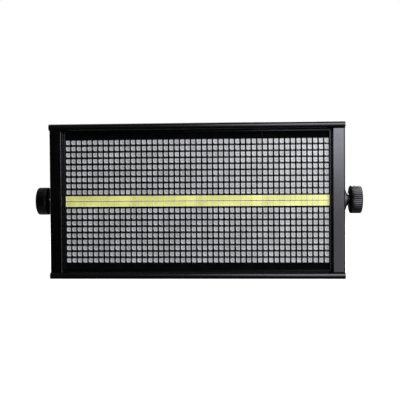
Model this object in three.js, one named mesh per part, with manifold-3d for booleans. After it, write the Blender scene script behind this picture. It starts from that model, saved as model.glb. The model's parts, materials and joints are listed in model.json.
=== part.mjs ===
// A stage strobe light: a flat black panel of 960 LEDs between two extruded aluminium panels,
// with folded side panels, a rear cover carrying fans and connectors, and a U-shaped yoke that
// two hand knobs clamp at the sides. Millimetres, +Z up, the light shines towards -Y.
// Every piece is built in the housing's own frame (Y = 0 is the front plane, Z = 0 is half
// height) and the outer group stands the housing on its bottom panel.

import * as THREE from 'three';
import { mergeVertices } from 'three/addons/utils/BufferGeometryUtils.js';
import Module from 'manifold-3d';

// Fits shared by all pieces
const seatGap = 0.3; // left between two pieces that rest on each other
const cutOverrun = 1; // how far a cutting tool runs past the face that it opens

// LED boards
const boardCount = 4;
const columnsPerBoard = 12;
const ledPitch = 6.2;
const rowPitch = 7;
const colourRows = 9; // above the white rows, and as many below
const colourLedSize = 5;
const colourLedHeight = 1.6;
const whiteRows = 2;
const whiteRowPitch = 6.3;
const whiteLedSize = 6;
const whiteLedHeight = 1.4;
const whiteBand = 1.85; // bare board between the white and the colour packages
const boardThickness = 1.6;
const boardSetback = 13.6; // front face of the boards behind the front plane
const boardGap = 0.3;

// Housing
const sheetThickness = 1.5;
const sideBand = 2; // dark board edge between the LEDs and the columns
const darkBand = 10.2; // between the LEDs and the beads
const airGap = 9.05; // between the heat sink's fins and the power supply

// Top and bottom panels, aluminium extrusions with a rounded bead at each long edge
const panelInset = 0.2; // each end stops short of the side panels' outer faces
const beadHeight = 7.4;
const webThickness = 2.2;
const channelWidth = 7; // square rib that holds a screw channel
const channelDrop = 6.5;
const channelInset = 20; // from the front and rear planes

// Side panels, folded sheet
const columnWidth = 13.45; // front flange that frames the LEDs
const columnSetback = 3.5; // behind the beads
const returnDepth = 9.8; // inner lip that walls the recess
const rearFlangeWidth = 13;
const bendRadius = 2;
const sideVentLength = 30;
const sideVentHeight = 4;
const sideVentPitch = 9;
const sideVentFirst = 34; // height of the first slot above and below the pivot
const sideVentsPerBank = 4;

// Heat sink
const sinkPlate = 4;
const finHeight = 17.5;
const finThickness = 1.6;
const finPitch = 16;
const finEndGap = 7.6; // the fins end this far inside the plate
const postDiameter = 6;
const postHeight = 22;

// Fans
const fanSize = 80;
const fanDepth = 25;
const fanRim = 2; // frame left round the bore
const fanCornerRadius = 4;
const fanEdge = 3.25; // from the side panel's rear flange
const fanTopGap = 3.9;
const motorDiameter = 32;
const motorBase = 4;
const strutWidth = 4;
const strutCount = 4;
const rotorTipClearance = 1;
const rotorHubDiameter = 34;
const rotorHubDepth = 17;
const bladeCount = 7;
const bladeChord = 19;
const bladeThickness = 1.6;
const bladePitchAngle = 38;
const rotorShaftDiameter = 4;
const rotorSink = 1.5; // the rotor stops short of the frame's open face
const guardWire = 2;
const guardRings = 3;
const guardOverhang = 12; // the spokes run past the fan's half width to its corner holes

// Power supply
const supplyDepth = 40;
const supplyTopGap = 5.9;
const supplyToFan = 10;
const terminalWidth = 70;
const terminalHeight = 9;
const terminalDepth = 12;
const lowerBay = 65.9; // height kept for connectors and boards below the power supply

// Driver board, on posts behind the heat sink
const driverWidth = 200;
const driverHeight = 52;
const driverRise = 28.9; // its middle above the lower channel ribs
const coilSize = 14;
const coilHeight = 10;
const coilCount = 4;
const capacitorDiameter = 12;
const capacitorHeight = 16;
const capacitorCount = 4;
const driverPitch = 24;
const driverRowSpread = 13; // coils above and capacitors below the board's middle line

// Control board with display and keys, behind the rear cover
const controlSideGap = 6.5; // from the fuse holder's rim
const controlHeight = 56;
const controlSetIn = 12.5; // its rear face ahead of the rear cover
const switchSize = 6;
const switchHeight = 3.5;
const processorSize = 14;
const processorHeight = 2;
const displayWidth = 48;
const displayHeight = 22;
const displayRise = 10; // above the connectors' middle line
const windowMargin = 3; // of the display module round its window
const keyDiameter = 6.4;
const keyTravel = 1;
const keyProud = 2; // stands out of the rear cover
const keyRim = 1; // wider foot inside the cover, keeps the key in
const keyRimThickness = 1.2;
const keyDrop = 14; // below the connectors' middle line
const keyPitch = 14;

// Rear connectors
const connectorRise = 29.9; // their middle above the lower channel ribs
const connectorEdge = 21.25; // the outermost one's middle from the side panel's rear flange
const connectorPitch = 34;
const connectorFlangeWidth = 26;
const connectorFlangeHeight = 31;
const connectorFlange = 2.5;
const connectorBarrel = 23.6;
const connectorDepth = 22; // barrel inside the cover
const powerWall = 1.8;
const powerBoreDepth = 16;
const powerCore = 9;
const powerCoreHeight = 6;
const signalWall = 2.5;
const signalBoreDepth = 14;
const contactCircle = 8;
const contactPin = 2.4;
const contactPinLength = 11;
const contactHole = 3.2;
const contactHoleDepth = 9;
const contactCount = 3;
const latchWidth = 7;
const latchHeight = 3.4;
const latchLength = 6;
const latchProud = 1.6;
const latchTravel = 1.2;
const latchUp = 8.4; // from the connector's middle

// Fuse
const fusePitch = 26; // from the power outlet
const fuseBody = 12;
const fuseWall = 1;
const fuseRim = 17;
const fuseRimThickness = 2;
const fuseDepth = 30;
const fuseBoreDepth = 14;
const fusePlugClearance = 0.4;
const fusePlugLength = 13;
const fuseCapDiameter = 14;
const fuseCapHeight = 5;
const fuseSlotWidth = 2;
const fuseSlotDepth = 1.5;

// Rear cover
const coverEdge = 0.35; // the cover stops this far inside the side panels
const supplySlotWidth = 3;
const supplySlotMargin = 20; // of the power supply above and below the slots
const supplySlotPitch = 12;
const supplySlots = 5;

// Safety eye on the rear cover
const eyeEdge = 3.4; // from the cover's top edge
const eyeBaseWidth = 34;
const eyeBaseHeight = 13;
const eyeThickness = 2.5;
const eyeReach = 20;
const eyeWidth = 24;
const eyeHole = 12;

// Yoke and its clamping knobs
const yokeThickness = 3;
const yokeWidth = 25;
const yokeCornerClearance = 20.86; // of the crossbar past the housing's corners
const yokeBend = 8;
const clampHole = 13;
const clampSideHole = 8.5;
const clampSideSpacing = 50;
const boltDiameter = 8;
const boltClearance = 0.6;
const boltHeadAcrossCorners = 15;
const boltHead = 5.3;
const pivotPlateGap = 2.5; // behind the heat sink's plate
const pivotPlateThickness = 3;
const frictionDiameter = 24;
const frictionThickness = 2.2;
const washerDiameter = 16;
const washerThickness = 1.6;
const knobDiameter = 32;
const knobThickness = 13;
const knobEdge = 1.3;
const knobBossDiameter = 13;
const knobBossLength = 2.7;
const knobRibs = 40;
const knobRibDepth = 0.5;
const knobBoreFloor = 2.4;

// Screws
const screwDiameter = 3;
const screwClearance = 0.4;
const screwHeadDiameter = 5.6;
const screwHead = 1.7;
const screwCrown = 0.6;
const screwLength = 8;
const coverScrewEdge = 8.9; // from the cover's top and bottom edges

// Facets round a full turn
const hexagon = 6;
const screwTurn = 6;
const coarseTurn = 8;
const mediumTurn = 12;
const fineTurn = 24;
const beadSteps = 6;
const bendSteps = 3;

// The LED field sets the housing's width and height
const firstColourRow = (whiteRowPitch + whiteLedSize + colourLedSize) / 2 + whiteBand;
const ledFieldWidth = boardCount * columnsPerBoard * ledPitch;
const ledFieldHeight = 2 * (firstColourRow + (colourRows - 1) * rowPitch) + colourLedSize;
const halfWidth = ledFieldWidth / 2 + sideBand + columnWidth; // to the side panels' outer faces
const halfHeight = ledFieldHeight / 2 + darkBand + beadHeight;
const innerHalfWidth = halfWidth - sheetThickness;
const flangeHalfHeight = halfHeight - beadHeight - seatGap;
const webInside = halfHeight - webThickness;
const channelInside = webInside - channelDrop;
const channelHeight = webInside - channelDrop / 2;

// What lies behind the boards sets its depth
const sinkFront = boardSetback + boardThickness + seatGap;
const sinkRear = sinkFront + sinkPlate;
const behindCover = sinkRear + finHeight + airGap + supplyDepth;
const coverInside = behindCover + seatGap;
const coverOutside = coverInside + sheetThickness;
const onCover = coverOutside + seatGap;
const housingDepth = coverOutside + seatGap / 2;
const channelPlaces = [channelInset, housingDepth - channelInset];

// LED boards and heat sink
const boardWidth = columnsPerBoard * ledPitch - boardGap;
const boardHeight = 2 * (channelInside - seatGap);
const finCount = Math.floor((ledFieldWidth - finThickness) / finPitch) + 1;
const finLength = boardHeight - 2 * finEndGap;
const driverFront = sinkRear + postHeight + seatGap;
const driverUp = driverRise - channelInside;

// Rear pieces, from the side panels' rear flanges and the channel ribs inwards
const flangeInside = halfWidth - rearFlangeWidth;
const fanBore = fanSize - 2 * fanRim;
const fanAcross = flangeInside - fanEdge - fanSize / 2;
const fanUp = channelInside - fanTopGap - fanSize / 2;
const supplyWidth = 2 * (fanAcross - fanSize / 2 - supplyToFan);
const supplyHeight = 2 * channelInside - supplyTopGap - lowerBay;
const supplyUp = channelInside - supplyTopGap - supplyHeight / 2;
const connectorOuter = flangeInside - connectorEdge;
const connectorUp = connectorRise - channelInside;
const connectorPlaces = {
  power_inlet: -connectorOuter,
  power_outlet: connectorPitch - connectorOuter,
  dmx_input: connectorOuter - connectorPitch,
  dmx_output: connectorOuter,
};
const connectorFace = onCover + connectorFlange;
const fuseAcross = connectorPlaces.power_outlet + fusePitch;
const fuseFace = onCover + fuseRimThickness;
const controlWidth = 2 * (-fuseAcross - fuseRim / 2 - controlSideGap);
const controlRear = coverInside - controlSetIn;
const controlFront = controlRear - boardThickness;
const displayUp = connectorUp + displayRise;
const windowWidth = displayWidth - 2 * windowMargin;
const windowHeight = displayHeight - 2 * windowMargin;
const keyNames = ['key_menu', 'key_down', 'key_up', 'key_enter'];
const keyUp = connectorUp - keyDrop;
const eyeUp = flangeHalfHeight - eyeEdge - eyeBaseHeight / 2;
const coverScrewAcross = halfWidth - rearFlangeWidth / 2;
const coverScrewRise = flangeHalfHeight - coverScrewEdge;
const coverScrewHeights = [-coverScrewRise, 0, coverScrewRise];

// Yoke and the clamp stack outwards from the side panel: friction disc, arm, washer, knob
const pivotFromFront = housingDepth / 2;
const pivotPlateSize = 2 * (pivotFromFront - sinkRear - pivotPlateGap);
const yokeReach = Math.hypot(pivotFromFront, halfHeight) + yokeCornerClearance;
const frontToBack = pivotFromFront + yokeReach + yokeThickness;
const frictionStart = halfWidth + seatGap;
const armInside = frictionStart + frictionThickness + seatGap;
const armOutside = armInside + yokeThickness;
const washerStart = armOutside + seatGap;
const bossStart = washerStart + washerThickness + seatGap;
const knobInside = bossStart + knobBossLength;
const knobOutside = knobInside + knobThickness;
const boreOverBolt = boltDiameter + boltClearance;

// Joining and cutting of closed meshes
const wasm = await Module();
wasm.setup();

function toSolid(geometry) {
  const bare = geometry.clone();
  bare.deleteAttribute('normal');
  bare.deleteAttribute('uv');
  const merged = mergeVertices(bare);
  const vertProperties = merged.attributes.position.array;
  const triVerts = new Uint32Array(merged.index.array);
  return new wasm.Manifold(new wasm.Mesh({ numProp: 3, vertProperties, triVerts }));
}

function toGeometry(solid) {
  const mesh = solid.getMesh();
  const geometry = new THREE.BufferGeometry();
  geometry.setAttribute('position', new THREE.BufferAttribute(mesh.vertProperties, 3));
  geometry.setIndex(new THREE.BufferAttribute(mesh.triVerts, 1));
  const faceted = geometry.toNonIndexed();
  faceted.computeVertexNormals();
  return faceted;
}

function joinSolids(solids) {
  return solids.reduce((whole, next) => whole.add(next));
}

function join(pieces) {
  return toGeometry(joinSolids(pieces.map(toSolid)));
}

function cut(body, tools) {
  const cutters = tools.map(toSolid);
  return toGeometry(cutters.reduce((whole, tool) => whole.subtract(tool), toSolid(body)));
}

function common(a, b) {
  return toGeometry(toSolid(a).intersect(toSolid(b)));
}

// Basic shapes, each placed by its limits or by its middle

// A block between two values on each axis, given in either order
function block(x, y, z) {
  const spans = [x, y, z].map(([a, b]) => Math.abs(b - a));
  const middles = [x, y, z].map(([a, b]) => (a + b) / 2);
  return new THREE.BoxGeometry(...spans).translate(...middles);
}

// An even span about zero
function about(size, middle = 0) {
  return [middle - size / 2, middle + size / 2];
}

// A round bar whose axis lies along X, Y or Z
function bar(axis, diameter, [from, to], turn) {
  const geometry = new THREE.CylinderGeometry(diameter / 2, diameter / 2, Math.abs(to - from), turn);
  if (axis === 'x') geometry.rotateZ(-Math.PI / 2);
  if (axis === 'z') geometry.rotateX(Math.PI / 2);
  const middle = (from + to) / 2;
  return geometry.translate(axis === 'x' ? middle : 0, axis === 'y' ? middle : 0, axis === 'z' ? middle : 0);
}

// A turned piece; the profile's second value runs along +Y, or outwards along X on one side
function turned(profile, turn) {
  return new THREE.LatheGeometry(profile.map(([r, h]) => new THREE.Vector2(r, h)), turn);
}

// A flat ring with its axis along Y, from its inner and outer diameters and its height span
function ring(inner, outer, [low, high], turn) {
  const [r, R] = [inner / 2, outer / 2];
  return turned([[r, low], [R, low], [R, high], [r, high], [r, low]], turn);
}

function prism(shape, length, curveSegments) {
  return new THREE.ExtrudeGeometry(shape, { depth: length, bevelEnabled: false, curveSegments });
}

// A profile drawn in (Y, Z), run along X
function prismAlongX(shape, [from, to], curveSegments) {
  const turn = new THREE.Matrix4().makeBasis(
    new THREE.Vector3(0, 1, 0),
    new THREE.Vector3(0, 0, 1),
    new THREE.Vector3(1, 0, 0),
  );
  return prism(shape, to - from, curveSegments).applyMatrix4(turn).translate(from, 0, 0);
}

// An outline drawn in (X, Z), run along Y
function prismAlongY(shape, [from, to], curveSegments) {
  return prism(shape, to - from, curveSegments).rotateX(Math.PI / 2).translate(0, to, 0);
}

// An outline drawn in (X, Y), run along Z
function prismAlongZ(shape, [from, to], curveSegments) {
  return prism(shape, to - from, curveSegments).translate(0, 0, from);
}

function outline(points) {
  return new THREE.Shape(points.map(([x, y]) => new THREE.Vector2(x, y)));
}

// A circle as a many-sided path, for a hole in an outline
function circle(x, y, diameter, turn) {
  const points = [];
  for (let i = 0; i < turn; i += 1) {
    const angle = (i / turn) * 2 * Math.PI;
    points.push([x + (diameter / 2) * Math.cos(angle), y + (diameter / 2) * Math.sin(angle)]);
  }
  return outline(points);
}

// Points of a quarter bend about a centre, between two angles in quarter turns
function bend([x, y], radius, fromQuarter, toQuarter, steps) {
  const points = [];
  for (let i = 0; i <= steps; i += 1) {
    const angle = (fromQuarter + ((toQuarter - fromQuarter) * i) / steps) * (Math.PI / 2);
    points.push([x + radius * Math.cos(angle), y + radius * Math.sin(angle)]);
  }
  return points;
}

// Finishes
function finish(color, roughness, metalness) {
  return new THREE.MeshStandardMaterial({ color, roughness, metalness });
}

const blackPaint = finish(0x1b1b1e, 0.45, 0.2);
const blackAnodised = finish(0x202024, 0.35, 0.6);
const blackMask = finish(0x15161a, 0.55, 0.0);
const blackOxide = finish(0x2a2a2c, 0.4, 0.9);
const zincSteel = finish(0xa9acb2, 0.35, 0.95);
const blackPlastic = finish(0x242427, 0.6, 0.0);
const bluePlastic = finish(0x1f4f9c, 0.5, 0.0);
const greyPlastic = finish(0x9a9da2, 0.5, 0.0);
const darkRubber = finish(0x161616, 0.85, 0.0);
const greenBoard = finish(0x1d5a35, 0.5, 0.0);
const darkGlass = finish(0x170b0b, 0.12, 0.0);
const chrome = finish(0xc9ccd1, 0.15, 1.0);

const strobeLight = new THREE.Group();
const housing = new THREE.Group();
housing.position.set(0, -frontToBack / 2, halfHeight);
strobeLight.add(housing);

function add(name, geometry, material, place = [0, 0, 0]) {
  const mesh = new THREE.Mesh(geometry, material);
  mesh.name = name;
  mesh.position.set(...place);
  housing.add(mesh);
}

// Top and bottom panels; their channel ribs end where the side walls reach the web
function longPanel(upwards) {
  const beadRadius = beadHeight / 2;
  const [outside, web, drop] = [halfHeight, webInside, channelInside];
  const rearBead = [housingDepth - beadRadius, outside - beadRadius];
  const frontBead = [beadRadius, outside - beadRadius];
  const underside = [...channelPlaces].reverse().flatMap((place) => {
    const [front, rear] = about(channelWidth, place);
    return [[rear, web], [rear, drop], [front, drop], [front, web]];
  });
  const points = [
    ...bend(rearBead, beadRadius, 1, -1, 2 * beadSteps),
    [housingDepth - beadHeight, outside - beadHeight],
    [housingDepth - beadHeight, web],
    ...underside,
    [beadHeight, web],
    [beadHeight, outside - beadHeight],
    ...bend(frontBead, beadRadius, -1, -3, 2 * beadSteps),
  ];
  const profile = outline(points.map(([y, z]) => [y, upwards * z]));
  const channelBore = screwDiameter + screwClearance;
  channelPlaces.forEach((place) => {
    profile.holes.push(circle(place, upwards * channelHeight, channelBore, coarseTurn));
  });
  const extrusion = prismAlongX(profile, about(2 * (halfWidth - panelInset)));
  const ribEnd = innerHalfWidth - seatGap;
  const ribs = [beadHeight, housingDepth - beadHeight];
  const belowWeb = [upwards * (drop - cutOverrun), upwards * web];
  return cut(extrusion, [-1, 1].map(
    (side) => block([side * ribEnd, side * (halfWidth + cutOverrun)], ribs, belowWeb),
  ));
}

add('top_panel', longPanel(1), blackAnodised);
add('bottom_panel', longPanel(-1), blackAnodised);

// Side panels: a wall with front and rear flanges, taller where it meets the panels' webs
function sidePanel(side) {
  const lip = halfWidth - columnWidth;
  const sideRear = behindCover;
  const inside = sheetThickness;
  const section = outline([
    [lip, columnSetback],
    ...bend([halfWidth - bendRadius, columnSetback + bendRadius], bendRadius, -1, 0, bendSteps),
    ...bend([halfWidth - bendRadius, sideRear - bendRadius], bendRadius, 0, 1, bendSteps),
    [flangeInside, sideRear],
    [flangeInside, sideRear - inside],
    [innerHalfWidth, sideRear - inside],
    [innerHalfWidth, columnSetback + inside],
    [lip + inside, columnSetback + inside],
    [lip + inside, columnSetback + returnDepth],
    [lip, columnSetback + returnDepth],
  ].map(([x, y]) => [side * x, y]));
  const folded = prismAlongZ(section, about(2 * flangeHalfHeight));
  const wallSpan = [side * innerHalfWidth, side * halfWidth];
  const behindBeads = [beadHeight + seatGap, housingDepth - beadHeight - seatGap];
  const wall = block(wallSpan, behindBeads, about(2 * (webInside - seatGap)));

  const through = [side * (innerHalfWidth - cutOverrun), side * (halfWidth + cutOverrun)];
  const tools = [bar('x', boreOverBolt, through, mediumTurn).translate(0, pivotFromFront, 0)];
  for (const up of [-1, 1]) {
    for (let i = 0; i < sideVentsPerBank; i += 1) {
      const height = up * (sideVentFirst + i * sideVentPitch);
      tools.push(block(through, about(sideVentLength, pivotFromFront), about(sideVentHeight, height)));
    }
    channelPlaces.forEach((place) => {
      const hole = bar('x', screwDiameter + screwClearance, through, coarseTurn);
      tools.push(hole.translate(0, place, up * channelHeight));
    });
  }
  coverScrewHeights.forEach((height) => {
    const depth = [sideRear - sheetThickness - cutOverrun, sideRear + cutOverrun];
    const hole = bar('y', screwDiameter + screwClearance, depth, coarseTurn);
    tools.push(hole.translate(side * coverScrewAcross, 0, height));
  });
  return cut(join([folded, wall]), tools);
}

add('side_panel_left', sidePanel(-1), blackPaint);
add('side_panel_right', sidePanel(1), blackPaint);

// Rear cover
function rearCover() {
  const sheet = block(about(2 * (halfWidth - coverEdge)), [coverInside, coverOutside], about(2 * flangeHalfHeight));
  const through = [coverInside - cutOverrun, coverOutside + cutOverrun];
  const roundHole = (across, up, diameter, turn) => bar('y', diameter, through, turn).translate(across, 0, up);
  const slot = (width, height, across, up) => block(about(width, across), through, about(height, up));
  const tools = [];
  for (const side of [-1, 1]) {
    tools.push(roundHole(side * fanAcross, fanUp, fanBore, fineTurn));
    coverScrewHeights.forEach((height) => {
      tools.push(roundHole(side * coverScrewAcross, height, screwDiameter + screwClearance, coarseTurn));
    });
  }
  Object.values(connectorPlaces).forEach((across) => {
    tools.push(roundHole(across, connectorUp, connectorBarrel + 2 * seatGap, mediumTurn));
  });
  tools.push(roundHole(fuseAcross, connectorUp, fuseBody + 2 * seatGap, mediumTurn));
  keyNames.forEach((name, i) => {
    tools.push(roundHole(keyAcross(i), keyUp, keyDiameter + 2 * seatGap, coarseTurn));
  });
  tools.push(slot(windowWidth + 2 * seatGap, windowHeight + 2 * seatGap, 0, displayUp));
  for (let i = 0; i < supplySlots; i += 1) {
    const across = (i - (supplySlots - 1) / 2) * supplySlotPitch;
    tools.push(slot(supplySlotWidth, supplyHeight - 2 * supplySlotMargin, across, supplyUp));
  }
  return cut(sheet, tools);
}

function keyAcross(i) {
  return (i - (keyNames.length - 1) / 2) * keyPitch;
}

add('rear_cover', rearCover(), blackPaint);

// LED boards: single colour packages above and below two close rows of white ones
function ledBoard() {
  const board = block(about(boardWidth), [0, boardThickness], about(boardHeight));
  const root = boardThickness / 2;
  const packages = [];
  const whiteRowLength = (columnsPerBoard - 1) * ledPitch + whiteLedSize;
  for (let row = 0; row < whiteRows; row += 1) {
    const up = (row - (whiteRows - 1) / 2) * whiteRowPitch;
    packages.push(block(about(whiteRowLength), [-whiteLedHeight, root], about(whiteLedSize, up)));
  }
  for (let column = 0; column < columnsPerBoard; column += 1) {
    const across = about(colourLedSize, (column - (columnsPerBoard - 1) / 2) * ledPitch);
    for (let row = 0; row < colourRows; row += 1) {
      const up = firstColourRow + row * rowPitch;
      packages.push(block(across, [-colourLedHeight, root], about(colourLedSize, up)));
      packages.push(block(across, [-colourLedHeight, root], about(colourLedSize, -up)));
    }
  }
  return join([board, ...packages]);
}

const ledBoardGeometry = ledBoard();
for (let i = 0; i < boardCount; i += 1) {
  const across = (i - (boardCount - 1) / 2) * columnsPerBoard * ledPitch;
  add(`led_board_${i + 1}`, ledBoardGeometry, blackMask, [across, boardSetback, 0]);
}

// Heat sink: plate, upright fins and the posts that carry the driver board
function heatSink() {
  const parts = [block(about(2 * (innerHalfWidth - seatGap)), [sinkFront, sinkRear], about(boardHeight))];
  const root = sinkRear - sinkPlate / 2;
  for (let i = 0; i < finCount; i += 1) {
    const across = (i - (finCount - 1) / 2) * finPitch;
    parts.push(block(about(finThickness, across), [root, sinkRear + finHeight], about(finLength)));
  }
  driverCorners().forEach(([across, up]) => {
    const post = bar('y', postDiameter, [root, sinkRear + postHeight], coarseTurn);
    parts.push(post.translate(across, 0, up));
  });
  return join(parts);
}

function driverCorners() {
  const across = (driverWidth - 2 * postDiameter) / 2;
  const rise = (driverHeight - 2 * postDiameter) / 2;
  return [[-across, -rise], [across, -rise], [-across, rise], [across, rise]].map(
    ([x, z]) => [x, z + driverUp],
  );
}

add('heat_sink', heatSink(), blackAnodised);

// Driver board: coils in one row, capacitors in the other
function driverBoard() {
  const rear = driverFront + boardThickness;
  const parts = [block(about(driverWidth), [driverFront, rear], about(driverHeight, driverUp))];
  for (let i = 0; i < coilCount; i += 1) {
    const across = (i - (coilCount - 1) / 2) * driverPitch;
    const body = [rear - boardThickness / 2, rear + coilHeight];
    parts.push(block(about(coilSize, across), body, about(coilSize, driverUp + driverRowSpread)));
  }
  for (let i = 0; i < capacitorCount; i += 1) {
    const across = (i - (capacitorCount - 1) / 2) * driverPitch;
    const body = bar('y', capacitorDiameter, [rear - boardThickness / 2, rear + capacitorHeight], mediumTurn);
    parts.push(body.translate(across, 0, driverUp - driverRowSpread));
  }
  return join(parts);
}

add('driver_board', driverBoard(), greenBoard);

// Power supply: a closed case with its terminal block below
function powerSupply() {
  const front = behindCover - supplyDepth;
  const caseBody = block(about(supplyWidth), [front, behindCover], about(supplyHeight, supplyUp));
  const low = supplyUp - supplyHeight / 2;
  const terminals = block(
    about(terminalWidth),
    [front + sheetThickness, front + sheetThickness + terminalDepth],
    [low - terminalHeight, low + sheetThickness],
  );
  return join([caseBody, terminals]);
}

add('power_supply', powerSupply(), zincSteel);

// Control board with the four key switches and a processor
function controlBoard() {
  const parts = [block(about(controlWidth), [controlFront, controlRear], about(controlHeight, connectorUp))];
  keyNames.forEach((name, i) => {
    const body = [controlRear - boardThickness / 2, controlRear + switchHeight];
    parts.push(block(about(switchSize, keyAcross(i)), body, about(switchSize, keyUp)));
  });
  const chip = [controlFront - processorHeight, controlFront + boardThickness / 2];
  parts.push(block(about(processorSize), chip, about(processorSize, displayUp)));
  return join(parts);
}

add('control_board', controlBoard(), greenBoard);

const displayDepth = [controlRear + seatGap, behindCover];
add('display_module', block(about(displayWidth), displayDepth, about(displayHeight, displayUp)), blackPlastic);
const windowDepth = [coverInside, coverOutside];
add('display_window', block(about(windowWidth), windowDepth, about(windowHeight, displayUp)), darkGlass);

// Keys: a cap through the cover on a wider rim that the cover holds in
function key() {
  const foot = controlRear + switchHeight + keyTravel + seatGap;
  const rimTop = behindCover;
  const rimFoot = rimTop - keyRimThickness;
  const profile = [
    [0, foot],
    [keyDiameter / 2, foot],
    [keyDiameter / 2, rimFoot],
    [keyDiameter / 2 + keyRim, rimFoot],
    [keyDiameter / 2 + keyRim, rimTop],
    [keyDiameter / 2, rimTop],
    [keyDiameter / 2, coverOutside + keyProud],
    [0, coverOutside + keyProud],
  ];
  return toGeometry(toSolid(turned(profile, coarseTurn)));
}

const keyGeometry = key();
keyNames.forEach((name, i) => add(name, keyGeometry, greyPlastic, [keyAcross(i), 0, keyUp]));

// Fans: frame with struts and motor base, rotor, and an outer wire guard
function fanFrame() {
  const reach = fanSize / 2 - fanCornerRadius;
  const corners = [[1, 1], [-1, 1], [-1, -1], [1, -1]].flatMap(
    ([x, z], i) => bend([x * reach, z * reach], fanCornerRadius, i, i + 1, bendSteps),
  );
  const shell = outline(corners);
  shell.holes.push(circle(0, 0, fanBore, fineTurn));
  const depth = [behindCover - fanDepth, behindCover];
  const baseDepth = [behindCover - motorBase, behindCover];
  const struts = [];
  for (let i = 0; i < strutCount / 2; i += 1) {
    const strut = block(about(fanBore + strutWidth), baseDepth, about(strutWidth));
    struts.push(strut.rotateY(((i + 0.5) * Math.PI) / (strutCount / 2)));
  }
  const base = bar('y', motorDiameter, baseDepth, mediumTurn);
  const bearing = bar('y', rotorShaftDiameter + 2 * seatGap, about(2 * fanDepth, behindCover), coarseTurn);
  return cut(join([prismAlongY(shell, depth), base, ...struts]), [bearing]);
}

function fanRotor() {
  const front = behindCover - fanDepth + rotorSink;
  const hub = bar('y', rotorHubDiameter, [front, front + rotorHubDepth], mediumTurn);
  const shaftEnd = behindCover - motorBase / 2;
  const shaft = bar('y', rotorShaftDiameter, [front + rotorHubDepth / 2, shaftEnd], coarseTurn);
  const tip = fanBore / 2 - rotorTipClearance;
  const root = rotorHubDiameter / 2 - bladeThickness;
  const blades = [];
  for (let i = 0; i < bladeCount; i += 1) {
    const blade = block(about(bladeThickness), about(bladeChord), [root, tip]);
    blade.rotateZ(THREE.MathUtils.degToRad(bladePitchAngle));
    blade.translate(0, front + rotorHubDepth / 2, 0);
    blades.push(blade.rotateY((i / bladeCount) * 2 * Math.PI));
  }
  return join([hub, shaft, ...blades]);
}

function fanGuard() {
  const depth = [onCover, onCover + guardWire];
  const parts = [bar('y', 2 * guardWire, depth, coarseTurn)];
  for (let i = 1; i <= guardRings; i += 1) {
    const radius = (i / guardRings) * (fanBore / 2 - guardWire);
    parts.push(ring(2 * radius - guardWire, 2 * radius + guardWire, depth, mediumTurn));
  }
  for (let i = 0; i < strutCount / 2; i += 1) {
    const spoke = block(about(fanSize + 2 * guardOverhang), depth, about(guardWire));
    parts.push(spoke.rotateY(((i + 0.5) * Math.PI) / (strutCount / 2)));
  }
  return join(parts);
}

const fanFrameGeometry = fanFrame();
const fanRotorGeometry = fanRotor();
const fanGuardGeometry = fanGuard();
for (const [word, side] of [['left', -1], ['right', 1]]) {
  const place = [side * fanAcross, 0, fanUp];
  add(`fan_frame_${word}`, fanFrameGeometry, blackPlastic, place);
  add(`fan_rotor_${word}`, fanRotorGeometry, blackPlastic, place);
  add(`fan_guard_${word}`, fanGuardGeometry, chrome, place);
}

// Connectors: a square flange outside the cover and a barrel through it
function connectorShell() {
  const flangeDepth = [onCover, onCover + connectorFlange];
  const flange = block(about(connectorFlangeWidth), flangeDepth, about(connectorFlangeHeight));
  const barrelDepth = [coverInside - connectorDepth, onCover + connectorFlange / 2];
  return join([flange, bar('y', connectorBarrel, barrelDepth, mediumTurn)]);
}

function powerSocket() {
  const floor = connectorFace - powerBoreDepth;
  const bore = bar('y', connectorBarrel - 2 * powerWall, [floor, connectorFace + cutOverrun], mediumTurn);
  const core = bar('y', powerCore, [floor - cutOverrun, floor + powerCoreHeight], coarseTurn);
  return join([cut(connectorShell(), [bore]), core]);
}

// Three contacts on a circle, as bars between two depths
function contacts(diameter, depth, turn) {
  const bars = [];
  for (let i = 0; i < contactCount; i += 1) {
    const angle = ((i + 0.5) / contactCount) * Math.PI;
    const across = (contactCircle / 2) * Math.cos(angle);
    const up = -(contactCircle / 2) * Math.sin(angle);
    bars.push(bar('y', diameter, depth, turn).translate(across, 0, up));
  }
  return bars;
}

function signalInlet() {
  const floor = connectorFace - signalBoreDepth;
  const bore = bar('y', connectorBarrel - 2 * signalWall, [floor, connectorFace + cutOverrun], mediumTurn);
  const pins = contacts(contactPin, [floor - cutOverrun, floor + contactPinLength], coarseTurn);
  return join([cut(connectorShell(), [bore]), ...pins]);
}

function signalOutlet() {
  const depth = [connectorFace - contactHoleDepth, connectorFace + cutOverrun];
  const holes = contacts(contactHole, depth, coarseTurn);
  const latchPocket = block(
    about(latchWidth + 2 * seatGap),
    [connectorFace - latchLength, connectorFace + cutOverrun],
    about(latchHeight + 2 * seatGap, latchUp),
  );
  return cut(connectorShell(), [...holes, latchPocket]);
}

const powerSocketGeometry = powerSocket();
const atConnector = (name) => [connectorPlaces[name], 0, connectorUp];
add('power_inlet', powerSocketGeometry, bluePlastic, atConnector('power_inlet'));
add('power_outlet', powerSocketGeometry, greyPlastic, atConnector('power_outlet'));
add('dmx_input', signalInlet(), zincSteel, atConnector('dmx_input'));
add('dmx_output', signalOutlet(), zincSteel, atConnector('dmx_output'));

// Release tab of the output socket; pressed, it sinks into its pocket
const latchFoot = connectorFace - latchLength + latchTravel + seatGap;
const latchDepth = [latchFoot, connectorFace + latchProud];
const latchTab = block(about(latchWidth), latchDepth, about(latchHeight, latchUp));
add('dmx_latch', latchTab, zincSteel, atConnector('dmx_output'));

// Fuse holder and its screw cap
const fuseBore = fuseBody - 2 * fuseWall;

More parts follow.
